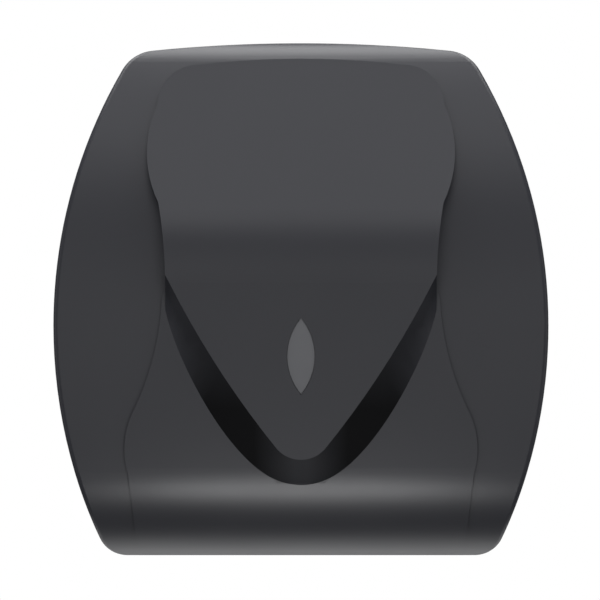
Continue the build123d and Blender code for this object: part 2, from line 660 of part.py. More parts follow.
def frame_plate():
    """Right-hand frame: an upright plate with a screwed foot and a spring ledge."""
    points = [(-CASE_WALL, FRAME_TOP_Z), (ROLL_Y - 2, FRAME_TOP_Z), (ROLL_Y - 19, FRAME_TOP_Z - 11),
              (FRAME_FRONT_Y, FRAME_TOP_Z - 56), (FRAME_FRONT_Y, FRAME_BOTTOM_Z),
              (-26.0, FRAME_BOTTOM_Z), (-CASE_WALL, FRAME_BOTTOM_Z + 17)]
    plate = side_plate(points, FRAME_INNER_X, FRAME_OUTER_X)
    foot_z = min(FRAME_SCREW_ZS) - SCREW_HEAD_RADIUS - 2
    plate += block(FRAME_OUTER_X - FRAME_THICKNESS, FRAME_OUTER_X + FRAME_FLANGE_WIDTH,
                   -CASE_WALL - FRAME_THICKNESS, -CASE_WALL, foot_z, FRAME_TOP_Z - 6)
    ledge_low = FRAME_TOP_Z - PINCH_LEDGE_HEIGHT
    plate += block(FRAME_INNER_X - PINCH_LEDGE_REACH, FRAME_INNER_X, PINCH_SPRING_Y - PINCH_LEDGE_HALF_DEPTH,
                   PINCH_SPRING_Y + PINCH_LEDGE_HALF_DEPTH, ledge_low, FRAME_TOP_Z)
    plate -= rod_x(BUSH_RADIUS + PRESS_GAP, 0, HALF_WIDTH, DRUM_Y, DRUM_Z)
    plate -= rod_x(PINCH_PIN_RADIUS + PRESS_GAP, 0, HALF_WIDTH, PINCH_PIVOT_Y, PINCH_PIVOT_Z)
    return plate


def side_frame(side):
    frame = frame_plate()
    if side > 0:
        post_end = CRANK_OUTER_X + CRANK_PIN_LENGTH
        frame += rod_x(CRANK_PIN_RADIUS, FRAME_OUTER_X, post_end, DRUM_Y, SPRING_POST_Z)
    else:
        frame = other_side(frame)
    for hole in screw_holes():
        frame -= hole
    return frame


def drum_bush(side):
    """Flanged bush pressed into the frame from outside."""
    bush = rod_x(BUSH_RADIUS, FRAME_INNER_X, FRAME_OUTER_X, DRUM_Y, DRUM_Z)
    bush += rod_x(BUSH_FLANGE_RADIUS, FRAME_OUTER_X, FRAME_OUTER_X + BUSH_FLANGE_THICKNESS, DRUM_Y, DRUM_Z)
    bush -= rod_x(SHAFT_RADIUS + RUNNING_GAP, 0, HALF_WIDTH, DRUM_Y, DRUM_Z)
    return bush if side > 0 else other_side(bush)


def paper_chute():
    """Floor and upright back behind the drum, over which the loose web falls to the outlet."""
    low = CHUTE_FLOOR_Z - GUIDE_THICKNESS
    floor = block(-FRAME_INNER_X, FRAME_INNER_X, CHUTE_FRONT_Y, CHUTE_REAR_Y, low, CHUTE_FLOOR_Z)
    floor = fillet(floor.edges().filter_by(Axis.X).group_by(Axis.Y)[0], GUIDE_THICKNESS / 2 - 0.05)
    back = block(-FRAME_INNER_X, FRAME_INNER_X, CHUTE_REAR_Y - GUIDE_THICKNESS, CHUTE_REAR_Y,
                 low, CHUTE_FLOOR_Z + CHUTE_BACK_HEIGHT)
    return floor + back


def front_guide():
    """Upright guide in front of the drum, with its upper edge turned forwards."""
    low = CHUTE_FLOOR_Z - GUIDE_THICKNESS
    front = FRONT_GUIDE_Y - GUIDE_THICKNESS
    guide = block(-FRAME_INNER_X, FRAME_INNER_X, front, FRONT_GUIDE_Y, low, FRONT_GUIDE_TOP_Z)
    return fillet(guide.edges().filter_by(Axis.X), GUIDE_THICKNESS / 2 - 0.05)


# Roll arms and hubs

def arm_points(root_y):
    """Tapered arm outline in (y, z), up to the end circle's tangents."""
    top = ROLL_Z + ARM_END_RADIUS
    low = ROLL_Z - ARM_END_RADIUS
    return [(root_y, ARM_ROOT_HIGH_Z), (ROLL_Y, top), (ROLL_Y, low), (root_y, ARM_ROOT_LOW_Z)]


def arm_blade(root_y):
    """Right-hand arm plate with the stud that the hub turns on."""
    blade = side_plate(arm_points(root_y), ARM_INNER_X, ARM_OUTER_X)
    blade += rod_x(ARM_END_RADIUS, ARM_INNER_X, ARM_OUTER_X, ROLL_Y, ROLL_Z)
    stud_end = HUB_TIP_X + HUB_RECESS_DEPTH - LUG_GAP
    blade += rod_x(HUB_STUD_RADIUS, stud_end, ARM_INNER_X, ROLL_Y, ROLL_Z)
    return blade - rod_x(SCREW_RADIUS, stud_end - 1, ARM_INNER_X, ROLL_Y, ROLL_Z)


def roll_arm_left():
    arm = other_side(arm_blade(-CASE_WALL))
    arm += block(-ARM_OUTER_X - ARM_FLANGE_WIDTH, -ARM_INNER_X, -CASE_WALL - FRAME_THICKNESS, -CASE_WALL,
                 ARM_ROOT_LOW_Z, ARM_ROOT_HIGH_Z)
    for hole in screw_holes():
        arm -= hole
    return arm


def roll_arm_right():
    """Arm that swings outwards about an upright pin to take or let go a roll."""
    root_y = ARM_PIVOT_Y - ARM_KNUCKLE_RADIUS - 1.5
    arm = arm_blade(root_y)
    low = ARM_KNUCKLE_LOW_Z
    arm += rod_z(ARM_KNUCKLE_RADIUS, low, ARM_KNUCKLE_HIGH_Z, ARM_PIVOT_X, ARM_PIVOT_Y)
    arm += block(ARM_INNER_X, ARM_PIVOT_X, root_y - 4, ARM_PIVOT_Y + ARM_KNUCKLE_RADIUS - 1,
                 low, ARM_KNUCKLE_HIGH_Z)
    return arm - rod_z(ARM_PIN_RADIUS + RUNNING_GAP, low - 1, ARM_KNUCKLE_HIGH_Z + 1, ARM_PIVOT_X, ARM_PIVOT_Y)


def arm_pivot_pin():
    low = ARM_KNUCKLE_LOW_Z - ARM_LUG_HEIGHT - LUG_GAP
    pin = rod_z(ARM_PIN_RADIUS, low, ARM_LUG_HIGH_Z + ARM_LUG_HEIGHT, ARM_PIVOT_X, ARM_PIVOT_Y)
    head = rod_z(ARM_PIN_RADIUS + 1.5, ARM_LUG_HIGH_Z + ARM_LUG_HEIGHT, ARM_LUG_HIGH_Z + ARM_LUG_HEIGHT + 1.5,
                 ARM_PIVOT_X, ARM_PIVOT_Y)
    return pin + head


def roll_hub(side):
    """Flanged, tapered plug for the end of the roll's core."""
    seat_x = ROLL_WIDTH / 2 + ROLL_SIDE_GAP
    hub = rod_x(HUB_FLANGE_RADIUS, seat_x, HUB_OUTER_X)
    nose = Cone(HUB_NOSE_RADIUS, HUB_NOSE_TIP_RADIUS, HUB_NOSE_LENGTH)
    hub += Pos((seat_x + HUB_TIP_X) / 2, 0, 0) * Rot(0, -90, 0) * nose
    hub -= rod_x(HUB_STUD_RADIUS + RUNNING_GAP, HUB_TIP_X - 1, HUB_OUTER_X + 1)
    hub -= rod_x(HUB_RECESS_RADIUS, HUB_TIP_X - 1, HUB_TIP_X + HUB_RECESS_DEPTH)
    rib_count = 6
    for index in range(rib_count):
        groove = block(HUB_TIP_X - 1, seat_x - 2, HUB_NOSE_TIP_RADIUS - 1, HUB_NOSE_RADIUS + 1, -1.2, 1.2)
        hub -= Rot(index * 360 / rib_count, 0, 0) * groove
    hub = Pos(0, ROLL_Y, ROLL_Z) * hub
    return hub if side > 0 else other_side(hub)


def hub_screws():
    """Screws in the ends of the studs that keep the hubs on."""
    stud_end = HUB_TIP_X + HUB_RECESS_DEPTH - LUG_GAP
    head = rod_x(HUB_SCREW_HEAD_RADIUS, stud_end - 2.0, stud_end, ROLL_Y, ROLL_Z)
    shank = rod_x(SCREW_RADIUS - PRESS_GAP, stud_end, stud_end + 10, ROLL_Y, ROLL_Z)
    slot = block(stud_end - 2.0, stud_end - 1.0, ROLL_Y - 4, ROLL_Y + 4, ROLL_Z - 0.5, ROLL_Z + 0.5)
    return (head + shank) - slot


# Springs

def arc_middle(start, way, end):
    """Middle of the arc that leaves start along a direction and reaches end."""
    chord = end - start
    along = chord.normalized()
    side = (way - along * way.dot(along)).normalized()
    bend = math.acos(way.dot(along))
    return start + chord * 0.5 + side * (chord.length / 2 * math.tan(bend / 2))


def biarc(start, start_way, end, end_way):
    """Two arcs that leave start and reach end along the given directions, meeting smoothly."""
    span = end - start
    both = start_way + end_way
    sharpness = 2 * (1 - start_way.dot(end_way))
    along = span.dot(both)
    reach = (-along + math.sqrt(along ** 2 + sharpness * span.dot(span))) / sharpness
    joint = (start + end + (start_way - end_way) * reach) * 0.5
    first = ThreePointArc(start, arc_middle(start, start_way, joint), joint)
    second = ThreePointArc(joint, arc_middle(end, -end_way, joint), end)
    return [first, second]


def coil_point(radius, pitch, angle):
    """A point of a coil about Z and the direction the wire runs there; the angle is in degrees."""
    point = Vector(radius * cosine(angle), radius * sine(angle), pitch * angle / 360)
    rise = pitch / (2 * math.pi)
    way = Vector(-radius * sine(angle), radius * cosine(angle), rise).normalized()
    return point, way


def coil_edges(radius, pitch, turns, start_angle=0):
    """Half-turn biarcs of a coil about Z that starts at height zero."""
    edges = []
    base = coil_point(radius, pitch, start_angle)[0].Z
    lift = Vector(0, 0, -base)
    for step in range(int(turns * 2)):
        here, here_way = coil_point(radius, pitch, start_angle + step * 180)
        after, after_way = coil_point(radius, pitch, start_angle + (step + 1) * 180)
        edges += biarc(here + lift, here_way, after + lift, after_way)
    return edges


def wire_along(edges, wire):
    """Round wire swept along the edges, which follow each other smoothly."""
    path = Wire(edges)
    start = path @ 0
    section = Plane(start, z_dir=path % 0) * Circle(wire / 2)
    return sweep(section, path=path)


def least_gap(name, pitch, wire):
    """Print the space between neighbouring turns."""
    print(name, "gap between turns", round(pitch - wire, 2))


def return_spring():
    """Tension spring with side hooks, from the crank pin down to the post on the right frame."""
    radius = RETURN_SPRING_RADIUS
    pitch = RETURN_SPRING_PITCH
    turns = RETURN_SPRING_TURNS
    least_gap("return spring", pitch, RETURN_SPRING_WIRE)
    coil_height = pitch * turns
    top_pin_z = DRUM_Z - CRANK_LENGTH
    middle_z = (top_pin_z + SPRING_POST_Z) / 2
    half_span = (top_pin_z - SPRING_POST_Z) / 2
    rise = math.degrees(math.atan2(pitch, 2 * math.pi * radius))
    loop = CRANK_PIN_RADIUS + HOOK_GAP + RETURN_SPRING_WIRE / 2
    bend = loop / (1 - sine(rise))

    def hook(tip_z):
        """Edges in the plane at the coil's side, from the coil's end up round a pin."""
        end = Vector(radius, 0, coil_height / 2)
        centre = end + Vector(0, -sine(rise), cosine(rise)) * bend
        middle_angle = (rise - 90) / 2
        upright = centre + Vector(0, bend, 0)
        turn = ThreePointArc(end, centre + Vector(0, cosine(middle_angle), sine(middle_angle)) * bend, upright)
        foot = Vector(radius, upright.Y, tip_z)
        straight = Line(upright, foot)
        loop_centre = foot - Vector(0, loop, 0)
        over = loop_centre + Vector(0, cosine(120), sine(120)) * loop
        past = loop_centre + Vector(0, cosine(240), sine(240)) * loop
        return [turn, straight, ThreePointArc(foot, over, past)]

    upper = hook(half_span)
    coil = [Pos(0, 0, -coil_height / 2) * edge for edge in coil_edges(radius, pitch, turns)]
    lower = [Rot(180, 0, 0) * edge.reversed() for edge in reversed(upper)]
    spring = wire_along(lower + coil + upper, RETURN_SPRING_WIRE)
    x = CRANK_OUTER_X + CRANK_PIN_LENGTH / 2 - radius
    return Pos(x, DRUM_Y, middle_z) * spring


def pinch_springs():
    """Small compression springs between the frames' ledges and the pinch arms."""
    low = PINCH_ARM_TOP_Z + SEAT_GAP + PINCH_SPRING_WIRE / 2
    high = FRAME_TOP_Z - PINCH_LEDGE_HEIGHT - SEAT_GAP - PINCH_SPRING_WIRE / 2
    pitch = (high - low) / PINCH_SPRING_TURNS
    least_gap("pinch spring", pitch, PINCH_SPRING_WIRE)
    spring = wire_along(coil_edges(PINCH_SPRING_RADIUS, pitch, PINCH_SPRING_TURNS), PINCH_SPRING_WIRE)
    x = (PINCH_ARM_INNER_X + PINCH_ARM_OUTER_X) / 2
    right = Pos(x, PINCH_SPRING_Y, low) * spring
    left = Pos(-x, PINCH_SPRING_Y, low) * spring
    return Compound([right, left])


def arm_spring():
    """Torsion spring round the arm's pin, one leg on the case and one on the arm."""
    pitch = ARM_SPRING_PITCH
    least_gap("arm spring", pitch, ARM_SPRING_WIRE)
    coil = coil_edges(ARM_SPRING_RADIUS, pitch, ARM_SPRING_TURNS, 180)
    start = Vector(-ARM_SPRING_RADIUS, 0, 0)
    way = coil_point(ARM_SPRING_RADIUS, pitch, 180)[1]
    end = Vector(-ARM_SPRING_RADIUS, 0, pitch * ARM_SPRING_TURNS)
    case_leg = -ARM_PIVOT_Y - CASE_WALL - SEAT_GAP - ARM_SPRING_WIRE
    edges = [Line(start - way * case_leg, start)] + coil + [Line(end, end + way * ARM_SPRING_LEG)]
    slack = (ARM_SPRING_SPACE - pitch * ARM_SPRING_TURNS) / 2
    spring = wire_along(edges, ARM_SPRING_WIRE)
    return Pos(ARM_PIVOT_X, ARM_PIVOT_Y, ARM_KNUCKLE_HIGH_Z + slack) * spring


# Feed drum, about its own shaft: +Y is the slot's direction

def drum_sector(radius, start, end, half_length):
    """Wedge of the drum between two angles, for cutting the slot and the grip strips."""
    reach = radius * 1.6
    middle = (start + end) / 2
    points = [(0, 0), (reach * cosine(start), reach * sine(start)),
              (reach * cosine(middle), reach * sine(middle)), (reach * cosine(end), reach * sine(end))]
    return side_plate(points, -half_length, half_length)


def drum_body():
    """Hollow drum with end walls, knife slot, shaft bore, knife pivot holes and screw bosses."""
    half = DRUM_HALF_LENGTH
    inner_radius = DRUM_RADIUS - DRUM_WALL
    bosses = Compound([rod_y(DRUM_BOSS_RADIUS, -DRUM_RADIUS, DRUM_RADIUS, x, z)
                       for x, z in drum_screw_places()])
    skin = rod_x(DRUM_RADIUS, -half, half)
    inside = rod_x(inner_radius, -half + DRUM_END_WALL, half - DRUM_END_WALL)
    drum = skin - inside
    drum += bosses & rod_x(DRUM_RADIUS - DRUM_WALL / 2, -half, half)
    drum -= drum_sector(DRUM_RADIUS, DRUM_SLOT_FROM, DRUM_SLOT_TO, DRUM_SLOT_HALF_LENGTH) - rod_x(
        inner_radius - 1, -half, half)
    drum -= rod_x(SHAFT_RADIUS + PRESS_GAP, -half - 1, half + 1)
    drum -= rod_x(KNIFE_STUB_RADIUS + RUNNING_GAP, -half - 1, half + 1, KNIFE_PIVOT_OUT, KNIFE_PIVOT_ACROSS)
    return drum


def drum_screw_places():
    return [(x, z) for x in (-DRUM_SCREW_X, DRUM_SCREW_X) for z in (-DRUM_SCREW_OFFSET, DRUM_SCREW_OFFSET)]


def drum_shell(front):
    """One half of the drum; the screws' heads sit in the rear half."""
    reach = DRUM_RADIUS * 2
    if front:
        keep = block(-HALF_WIDTH, HALF_WIDTH, DRUM_SPLIT_GAP, reach, -reach, reach)
    else:
        keep = block(-HALF_WIDTH, HALF_WIDTH, -reach, -DRUM_SPLIT_GAP, -reach, reach)
    shell = drum_body() & keep
    for x, z in drum_screw_places():
        shell -= rod_y(DRUM_SCREW_RADIUS + PRESS_GAP, -DRUM_SCREW_SEAT, DRUM_BOSS_REACH - 2, x, z)
        shell -= rod_y(DRUM_SCREW_HEAD_RADIUS + 0.3, -reach, -DRUM_SCREW_SEAT, x, z)
    return DRUM_PLACE * shell


def drum_screws():
    screws = []
    for x, z in drum_screw_places():
        shank = rod_y(DRUM_SCREW_RADIUS, -DRUM_SCREW_SEAT, DRUM_BOSS_REACH - 4, x, z)
        head = rod_y(DRUM_SCREW_HEAD_RADIUS, -DRUM_SCREW_SEAT - 2, -DRUM_SCREW_SEAT, x, z)
        screws.append(DRUM_PLACE * (shank + head))
    return Compound(screws)


def grip_strips():
    """Rubber strips round the drum, broken at the knife slot."""
    first = -GRIP_SPACING * (GRIP_COUNT - 1) / 2
    strips = []
    gap = drum_sector(GRIP_RADIUS, DRUM_SLOT_FROM - GRIP_SLOT_MARGIN, DRUM_SLOT_TO + GRIP_SLOT_MARGIN, HALF_WIDTH)
    for index in range(GRIP_COUNT):
        x = first + index * GRIP_SPACING
        ring = rod_x(GRIP_RADIUS, x - GRIP_WIDTH / 2, x + GRIP_WIDTH / 2)
        ring -= rod_x(DRUM_RADIUS + PRESS_GAP, x - GRIP_WIDTH, x + GRIP_WIDTH)
        strip = ring - gap
        for sx, sz in drum_screw_places():
            strip -= rod_y(DRUM_SCREW_HEAD_RADIUS + 0.3, -DRUM_RADIUS * 2, -DRUM_SCREW_SEAT, sx, sz)
        strips.append(DRUM_PLACE * strip)
    return Compound(strips)


def drum_shaft():
    return rod_x(SHAFT_RADIUS, -FEED_WHEEL_OUTER_X, CRANK_OUTER_X, DRUM_Y, DRUM_Z)


def feed_wheel():
    """Fluted hand wheel on the left end of the shaft, for feeding a new web."""
    wheel = rod_x(FEED_WHEEL_RADIUS, -FEED_WHEEL_OUTER_X, -FEED_WHEEL_INNER_X)
    wheel = fillet(wheel.edges(), 1.0)
    wheel -= rod_x(FEED_WHEEL_RADIUS - 5, -FEED_WHEEL_OUTER_X - 1, -FEED_WHEEL_OUTER_X + 8)
    wheel += rod_x(SHAFT_RADIUS + 4, -FEED_WHEEL_OUTER_X + 1, -FEED_WHEEL_INNER_X - 1)
    wheel -= rod_x(SHAFT_RADIUS + PRESS_GAP, -HALF_WIDTH, 0)
    for index in range(FEED_WHEEL_GROOVES):
        groove = rod_x(FEED_WHEEL_GROOVE_RADIUS, -HALF_WIDTH, 0, 0, FEED_WHEEL_RADIUS + 0.6)
        wheel -= Rot(index * 360 / FEED_WHEEL_GROOVES, 0, 0) * groove
    return Pos(0, DRUM_Y, DRUM_Z) * wheel


def return_crank():
    """Crank on the right end of the shaft; its pin carries the return spring."""
    hub = rod_x(CRANK_HUB_RADIUS, CRANK_INNER_X, CRANK_OUTER_X)
    web = block(CRANK_INNER_X, CRANK_OUTER_X, -CRANK_HUB_RADIUS + 3, CRANK_HUB_RADIUS - 3, -CRANK_LENGTH, 0)
    tip = rod_x(CRANK_HUB_RADIUS - 3, CRANK_INNER_X, CRANK_OUTER_X, 0, -CRANK_LENGTH)
    pin = rod_x(CRANK_PIN_RADIUS, CRANK_OUTER_X, CRANK_OUTER_X + CRANK_PIN_LENGTH, 0, -CRANK_LENGTH)
    crank = hub + web + tip + pin
    crank -= rod_x(SHAFT_RADIUS + PRESS_GAP, 0, HALF_WIDTH)
    return Pos(0, DRUM_Y, DRUM_Z) * crank


# Knife, about its own pivot: +Y runs out along the blade

def knife_carrier():
    inner = DRUM_HALF_LENGTH - DRUM_END_WALL - 0.3
    carrier = rod_x(KNIFE_ROD_RADIUS, -inner, inner)
    carrier += rod_x(KNIFE_STUB_RADIUS, -DRUM_HALF_LENGTH - FOLLOWER_GAP - FOLLOWER_THICKNESS, DRUM_HALF_LENGTH - 0.4)
    carrier += block(-KNIFE_BLADE_HALF, KNIFE_BLADE_HALF, 0, KNIFE_TANG_LENGTH,
                     -KNIFE_TANG_THICKNESS / 2, KNIFE_TANG_THICKNESS / 2)
    for x in rivet_xs():
        carrier -= rod_z(RIVET_RADIUS + PRESS_GAP, -CUT_ROOM, CUT_ROOM, x, rivet_y())
    return KNIFE_PLACE * carrier


def rivet_xs():
    first = -RIVET_SPACING * (RIVET_COUNT - 1) / 2
    return [first + index * RIVET_SPACING for index in range(RIVET_COUNT)]


def rivet_y():
    return (KNIFE_TANG_LENGTH + KNIFE_BLADE_ROOT) / 2


def knife_blade():
    """Serrated steel strip riveted to the carrier."""
    pitch = 2 * KNIFE_BLADE_HALF / TOOTH_COUNT
    points = [(-KNIFE_BLADE_HALF, KNIFE_BLADE_ROOT)]
    for index in range(TOOTH_COUNT):
        left = -KNIFE_BLADE_HALF + index * pitch
        points.append((left, KNIFE_BLADE_LENGTH - TOOTH_DEPTH))
        points.append((left + pitch / 2, KNIFE_BLADE_LENGTH))
    points.append((KNIFE_BLADE_HALF, KNIFE_BLADE_LENGTH - TOOTH_DEPTH))
    points.append((KNIFE_BLADE_HALF, KNIFE_BLADE_ROOT))
    face = make_face(Polyline(points, close=True))
    blade = Pos(0, 0, KNIFE_TANG_THICKNESS / 2) * extrude(face, amount=KNIFE_BLADE_THICKNESS)
    for x in rivet_xs():
        blade -= rod_z(RIVET_RADIUS + PRESS_GAP, -CUT_ROOM, CUT_ROOM, x, rivet_y())
    return KNIFE_PLACE * blade


def knife_rivets():
    low = -KNIFE_TANG_THICKNESS / 2
    high = KNIFE_TANG_THICKNESS / 2 + KNIFE_BLADE_THICKNESS
    rivets = []
    for x in rivet_xs():
        rivet = rod_z(RIVET_RADIUS, low, high, x, rivet_y())
        rivet += rod_z(RIVET_HEAD_RADIUS, low - RIVET_HEAD_HEIGHT, low, x, rivet_y())
        rivet += rod_z(RIVET_HEAD_RADIUS, high, high + RIVET_HEAD_HEIGHT, x, rivet_y())
        rivets.append(KNIFE_PLACE * rivet)
    return Compound(rivets)


def knife_follower():
    """Lever and roller on the carrier's left stub, running inside the cam ring."""
    turn = FOLLOWER_ANGLE - KNIFE_REST_ANGLE
    tip = FOLLOWER_LENGTH * cosine(turn), FOLLOWER_LENGTH * sine(turn)
    inner = -DRUM_HALF_LENGTH - FOLLOWER_GAP
    outer = inner - FOLLOWER_THICKNESS
    lever = rod_x(KNIFE_ROD_RADIUS + 1.5, outer, inner)
    lever += Rot(turn, 0, 0) * block(outer, inner, 0, FOLLOWER_LENGTH, -2.5, 2.5)
    lever += rod_x(2.5, outer, inner, *tip)
    lever -= rod_x(KNIFE_STUB_RADIUS + PRESS_GAP, outer - 1, inner + 1)
    lever += rod_x(FOLLOWER_ROLLER_RADIUS, outer - FOLLOWER_ROLLER_WIDTH, outer, *tip)
    return KNIFE_PLACE * lever


def knife_cam():
    """Cam ring on the inside of the left frame."""
    ring = rod_x(CAM_INNER_RADIUS + CAM_WALL, -FRAME_INNER_X, -FRAME_INNER_X + CAM_HEIGHT, DRUM_Y, DRUM_Z)
    return ring - rod_x(CAM_INNER_RADIUS, -FRAME_INNER_X - 1, 0, DRUM_Y, DRUM_Z)


# Pinch rollers

def pinch_bracket():
    """Cross bar with an arm at each end that carries the pinch shaft."""
    half_depth = PINCH_BAR_DEPTH / 2
    half_height = PINCH_BAR_HEIGHT / 2
    bar = block(-PINCH_ARM_OUTER_X, PINCH_ARM_OUTER_X, PINCH_PIVOT_Y - half_depth, PINCH_PIVOT_Y + half_depth,
                PINCH_PIVOT_Z - half_height, PINCH_PIVOT_Z + half_height)
    half = PINCH_ARM_HALF_WIDTH
    points = [(PINCH_PIVOT_Y, PINCH_ARM_TOP_Z), (PINCH_Y, PINCH_Z + half), (PINCH_Y, PINCH_Z - half),
              (PINCH_PIVOT_Y, PINCH_PIVOT_Z - half_height)]
    points[1] = (PINCH_Y, PINCH_ARM_TOP_Z)
    arm = side_plate(points, PINCH_ARM_INNER_X, PINCH_ARM_OUTER_X)
    arm += rod_x(half + 1, PINCH_ARM_INNER_X, PINCH_ARM_OUTER_X, PINCH_Y, PINCH_Z)
    bracket = bar + arm + other_side(arm)
    bracket -= rod_x(PINCH_SHAFT_RADIUS + RUNNING_GAP, -HALF_WIDTH, HALF_WIDTH, PINCH_Y, PINCH_Z)
    bore = rod_x(PINCH_PIN_RADIUS + RUNNING_GAP, PINCH_PIN_INNER_X - 1, HALF_WIDTH, PINCH_PIVOT_Y, PINCH_PIVOT_Z)
    return bracket - bore - other_side(bore)


def pinch_pins():
    """Pivot pins pressed into the frames, one a side."""
    pin = rod_x(PINCH_PIN_RADIUS, PINCH_PIN_INNER_X, FRAME_OUTER_X + 0.5, PINCH_PIVOT_Y, PINCH_PIVOT_Z)
    return Compound([pin, other_side(pin)])


def pinch_shaft():
    return rod_x(PINCH_SHAFT_RADIUS, -PINCH_ARM_OUTER_X, PINCH_ARM_OUTER_X, PINCH_Y, PINCH_Z)


def pinch_rollers():
    rollers = []
    for x in (-PINCH_ROLLER_SPACING, 0, PINCH_ROLLER_SPACING):
        half = PINCH_ROLLER_LENGTH / 2
        roller = rod_x(PINCH_RADIUS, x - half, x + half, PINCH_Y, PINCH_Z)
        rollers.append(roller - rod_x(PINCH_SHAFT_RADIUS + PRESS_GAP, x - half, x + half, PINCH_Y, PINCH_Z))
    return Compound(rollers)


# Lock in the cover's roof

def lock_housing():
    """Fixed sleeve of the lock, flush with the roof."""
    low = TOP_Z - LOCK_HOUSING_LENGTH
    sleeve = rod_z(LOCK_HOUSING_RADIUS, low, TOP_Z, 0, LOCK_Y)
    return sleeve - rod_z(LOCK_BARREL_RADIUS + RUNNING_GAP, low - 1, TOP_Z + 1, 0, LOCK_Y)


def lock_nut():
    high = TOP_Z - COVER_WALL - LUG_GAP / 2
    nut = extrude(RegularPolygon(LOCK_NUT_ACROSS / 2, 6, major_radius=False), amount=LOCK_NUT_HEIGHT)
    nut -= rod_z(LOCK_HOUSING_RADIUS + PRESS_GAP, -1, LOCK_NUT_HEIGHT + 1)
    return Pos(0, LOCK_Y, high - LOCK_NUT_HEIGHT) * nut


def lock_barrel():
    high = TOP_Z - LOCK_FACE_SET_BACK
    barrel = rod_z(LOCK_BARREL_RADIUS, CAM_PLATE_TOP_Z, high, 0, LOCK_Y)
    keyway = block(-KEYWAY_LENGTH / 2, KEYWAY_LENGTH / 2, LOCK_Y - KEYWAY_WIDTH / 2, LOCK_Y + KEYWAY_WIDTH / 2,
                   high - KEYWAY_DEPTH, high + 1)
    barrel -= keyway
    return barrel - rod_z(SCREW_RADIUS, CAM_PLATE_TOP_Z - 1, CAM_PLATE_TOP_Z + 7, 0, LOCK_Y)


def lock_cam():
    """Hooked tongue on the barrel, shown turned clear of the keeper."""
    low = CAM_PLATE_TOP_Z - CAM_PLATE_THICKNESS
    arm = block(0, CAM_ARM_LENGTH, -CAM_ARM_WIDTH, 0, low, CAM_PLATE_TOP_Z)
    eye = rod_z(LOCK_HOUSING_RADIUS, low, CAM_PLATE_TOP_Z)
    toe = block(CAM_ARM_LENGTH - CAM_TOE_WIDTH, CAM_ARM_LENGTH, 0, CAM_TOE_LENGTH, low, CAM_PLATE_TOP_Z)
    cam = arm + eye + toe - rod_z(SCREW_RADIUS + PRESS_GAP, low - 1, CAM_PLATE_TOP_Z + 1)
    return Pos(0, LOCK_Y, 0) * cam


def cam_screw():
    low = CAM_PLATE_TOP_Z - CAM_PLATE_THICKNESS
    shank = rod_z(SCREW_RADIUS - PRESS_GAP, low, CAM_PLATE_TOP_Z + 6.5, 0, LOCK_Y)
    return shank + rod_z(SCREW_HEAD_RADIUS, low - SCREW_HEAD_HEIGHT, low, 0, LOCK_Y)


def lock_keeper():
    """Steel hook on the case: the cam's toe turns in behind its lip."""
    x0 = -KEEPER_SIDE_GAP - KEEPER_WIDTH
    x1 = -KEEPER_SIDE_GAP
    top = keeper_top_z()
    lip_rear = LOCK_Y + CAM_ARM_LENGTH - CAM_TOE_WIDTH - KEEPER_GAP
    shelf = block(x0, x1, lip_rear - KEEPER_THICKNESS, -CASE_WALL, top - KEEPER_THICKNESS, top)
    lip = block(x0, x1, lip_rear - KEEPER_THICKNESS, lip_rear, top - KEEPER_DROP, top)
    foot = block(x0, x1, -CASE_WALL - FRAME_THICKNESS, -CASE_WALL, top - KEEPER_FOOT_HEIGHT, top)
    keeper = shelf + lip + foot
    x, z = keeper_screw_place()
    return keeper - rod_y(SCREW_RADIUS + RUNNING_GAP, -CUT_ROOM, 0, x, z)


def make_parts():
    """Every piece by the name of its node."""
    hub_screw = hub_screws()
    return {
        "cover_shell": cover_shell(),
        "window_lens": window_lens(),
        "back_case": back_case(),
        "hinge_pins": hinge_pins(),
        "case_screws": case_screws(),
        "side_frame_left": side_frame(-1),
        "side_frame_right": side_frame(1),
        "paper_chute": paper_chute(),
        "front_guide": front_guide(),
        "drum_bush_left": drum_bush(-1),
        "drum_bush_right": drum_bush(1),
        "roll_arm_left": roll_arm_left(),
        "roll_arm_right": roll_arm_right(),
        "arm_pivot_pin": arm_pivot_pin(),
        "arm_spring": arm_spring(),
        "roll_hub_left": roll_hub(-1),
        "roll_hub_right": roll_hub(1),
        "hub_screw_left": other_side(hub_screw),
        "hub_screw_right": hub_screw,
        "drum_shaft": drum_shaft(),
        "drum_shell_front": drum_shell(True),
        "drum_shell_rear": drum_shell(False),
        "drum_screws": drum_screws(),
        "drum_grip_strips": grip_strips(),
        "feed_wheel": feed_wheel(),
        "return_crank": return_crank(),
        "return_spring": return_spring(),
        "knife_carrier": knife_carrier(),
        "knife_blade": knife_blade(),
        "knife_rivets": knife_rivets(),
        "knife_follower": knife_follower(),
        "knife_cam": knife_cam(),
        "pinch_bracket": pinch_bracket(),
        "pinch_pins": pinch_pins(),
        "pinch_shaft": pinch_shaft(),
        "pinch_rollers": pinch_rollers(),
        "pinch_springs": pinch_springs(),
        "lock_housing": lock_housing(),
        "lock_nut": lock_nut(),
        "lock_barrel": lock_barrel(),
        "lock_cam": lock_cam(),
        "cam_screw": cam_screw(),
        "lock_keeper": lock_keeper(),
    }


def main():
    os.makedirs("parts", exist_ok=True)
    for name, shape in make_parts().items():
        export_step(shape, f"parts/{name}.step")


if __name__ == "__main__":
    main()
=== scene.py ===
"""Wall-mounted paper towel dispenser: finishes, light and camera for the studio picture. Metres."""

import json
import math

